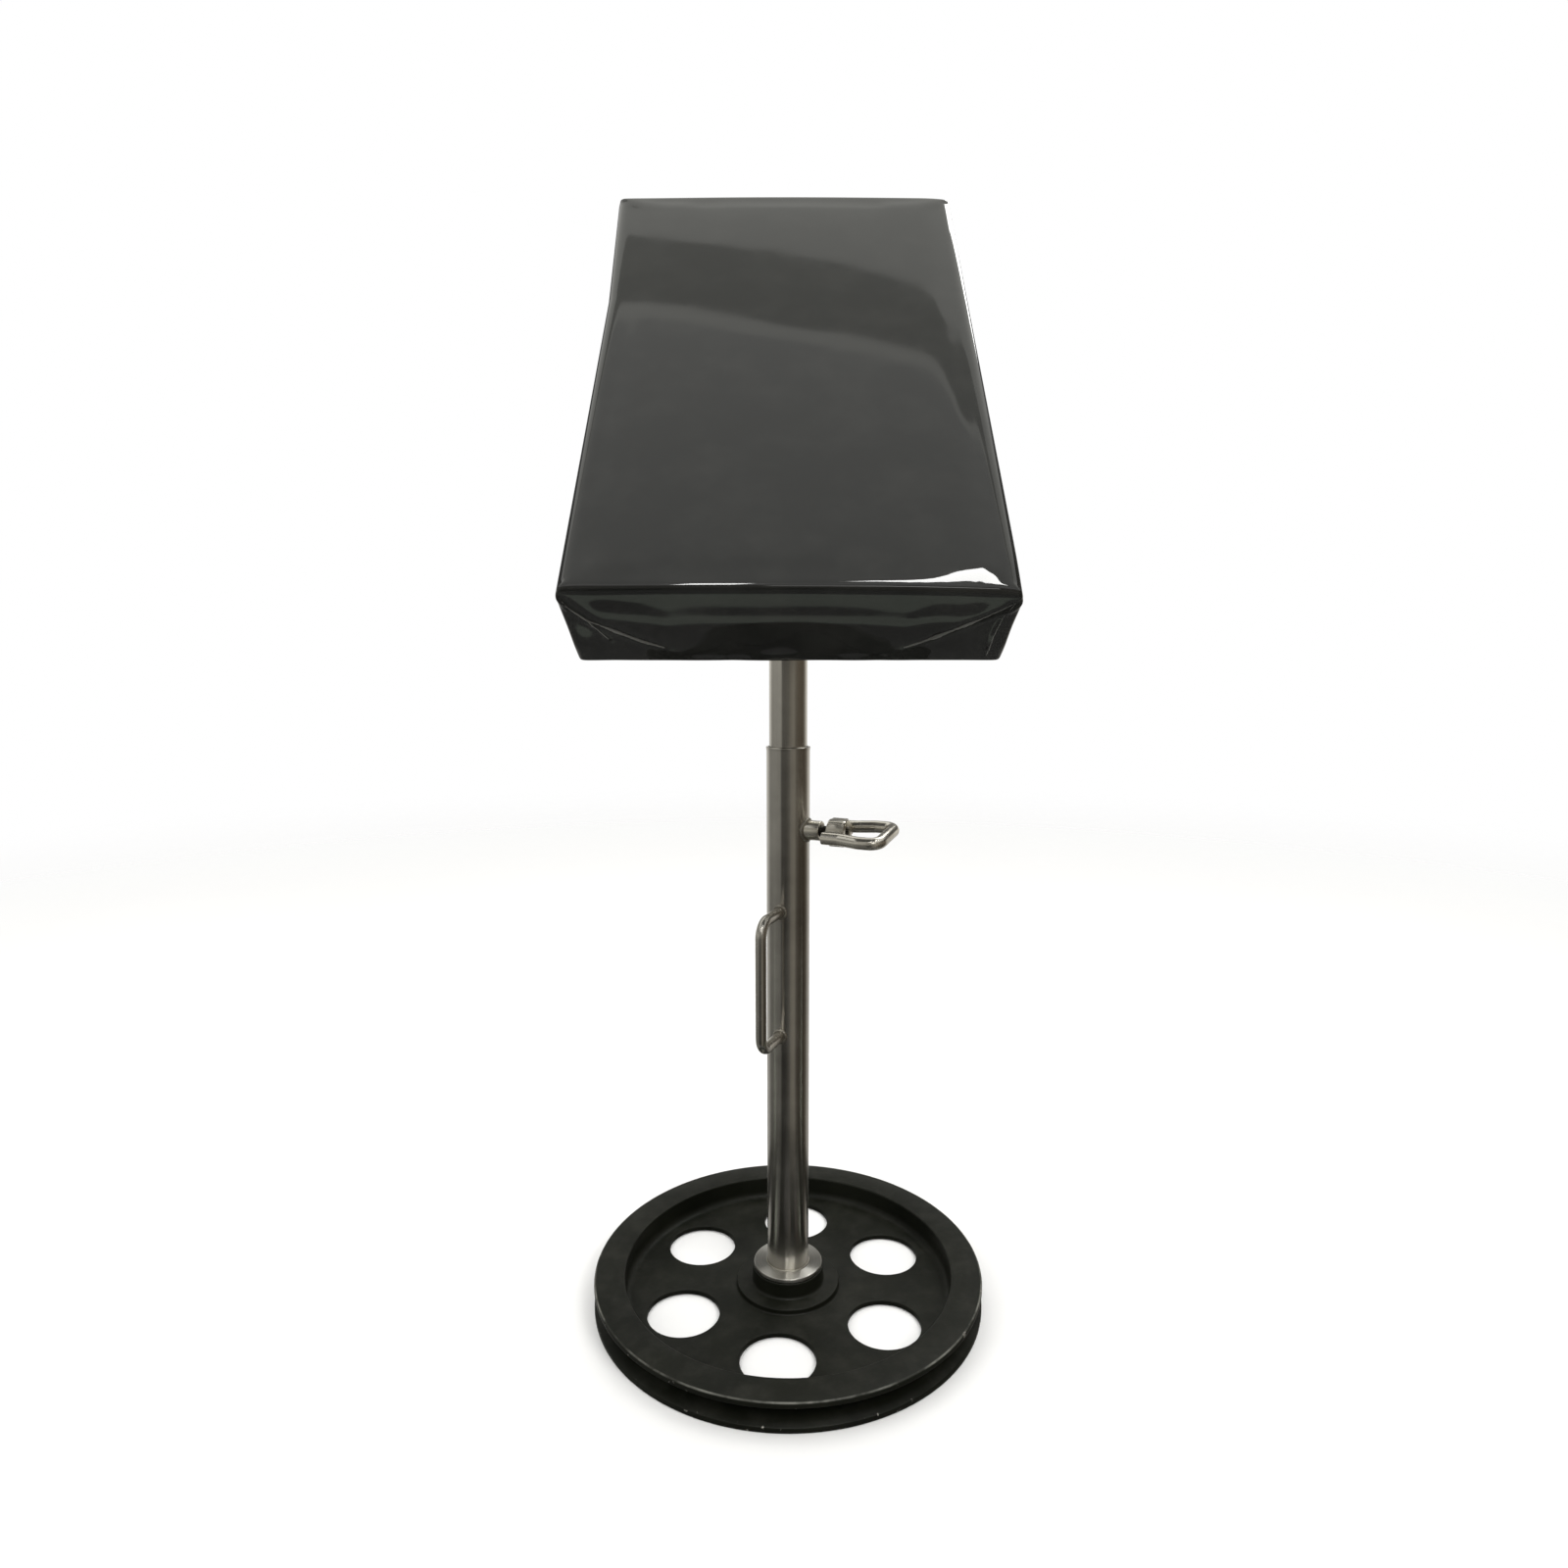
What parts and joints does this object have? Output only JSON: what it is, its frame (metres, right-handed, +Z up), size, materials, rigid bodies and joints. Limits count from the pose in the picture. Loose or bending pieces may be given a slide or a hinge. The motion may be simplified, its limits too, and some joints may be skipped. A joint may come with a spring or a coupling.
{
  "type": "height-adjustable padded rest",
  "caption": "Tilting vinyl pad on a telescoping steel post with a clamp screw and a carrying handle, standing on a grooved pulley base.",
  "frame": {"origin": "on the post's axis, in the plane of the floor that the base stands on", "axes": "+Z up along the post; +Y level, from the pad's low end towards its high end; +X to the right for a person at the low end"},
  "size_m": [0.3, 0.3492, 0.8351],
  "materials": {
    "pulley": "satin",
    "stainless": "satin",
    "black_screw": "satin",
    "zinc": "satin",
    "brass": "satin",
    "nylon": "matte",
    "plywood": "matte",
    "foam": "matte",
    "vinyl": "gloss",
    "underlay": "matte"
  },
  "bodies": {
    "stand": {"pulley_base": "pulley", "hub_set_screw_1": "black_screw", "hub_set_screw_2": "black_screw", "post_spigot": "stainless", "post_collar": "stainless", "outer_tube": "stainless", "lock_boss": "stainless", "carry_handle": "stainless"},
    "glide": {"glide_plug": "nylon"},
    "inner_post": {"inner_tube": "stainless", "inner_tube_cap": "stainless", "tilt_lug": "stainless"},
    "pad": {"bracket_plate": "stainless", "bracket_ear_left": "stainless", "bracket_ear_right": "stainless", "pivot_washer_left": "zinc", "pivot_washer_right": "zinc", "pivot_bolt": "zinc", "pivot_nut": "zinc", "pad_screw_1": "zinc", "pad_screw_2": "zinc", "pad_screw_3": "zinc", "pad_screw_4": "zinc", "pad_board": "plywood", "pad_foam": "foam", "pad_cover": "vinyl", "pad_underlay": "underlay"},
    "clamp_tip": {"lock_tip": "brass"},
    "clamp_screw": {"lock_screw": "black_screw", "lock_nut": "stainless", "lock_loop": "stainless"}
  },
  "joints": [
    {"name": "height_slide", "type": "slide", "parent": "stand", "child": "glide", "axis": [0, 0, 1], "range_m": [-0.15, 0.155]},
    {"name": "pad_swivel", "type": "hinge", "parent": "glide", "child": "inner_post", "pos_m": [0, 0, 0.185], "axis": [0, 0, 1], "continuous": true},
    {"name": "pad_tilt", "type": "hinge", "parent": "inner_post", "child": "pad", "pos_m": [0, 0, 0.6284], "axis": [1, 0, 0], "range_deg": [-47.5, 12.5]},
    {"name": "lock_screw_feed", "type": "slide", "parent": "stand", "child": "clamp_tip", "axis": [0.9063, -0.4226, 0], "range_m": [0, 0.0025]},
    {"name": "lock_screw_turn", "type": "hinge", "parent": "clamp_tip", "child": "clamp_screw", "pos_m": [0, 0, 0.368], "axis": [0.9063, -0.4226, 0], "range_deg": [0, 720]}
  ],
  "couplings": [
    {"joint": "lock_screw_turn", "follows": "lock_screw_feed", "rad_per_m": 5026.5}
  ]
}
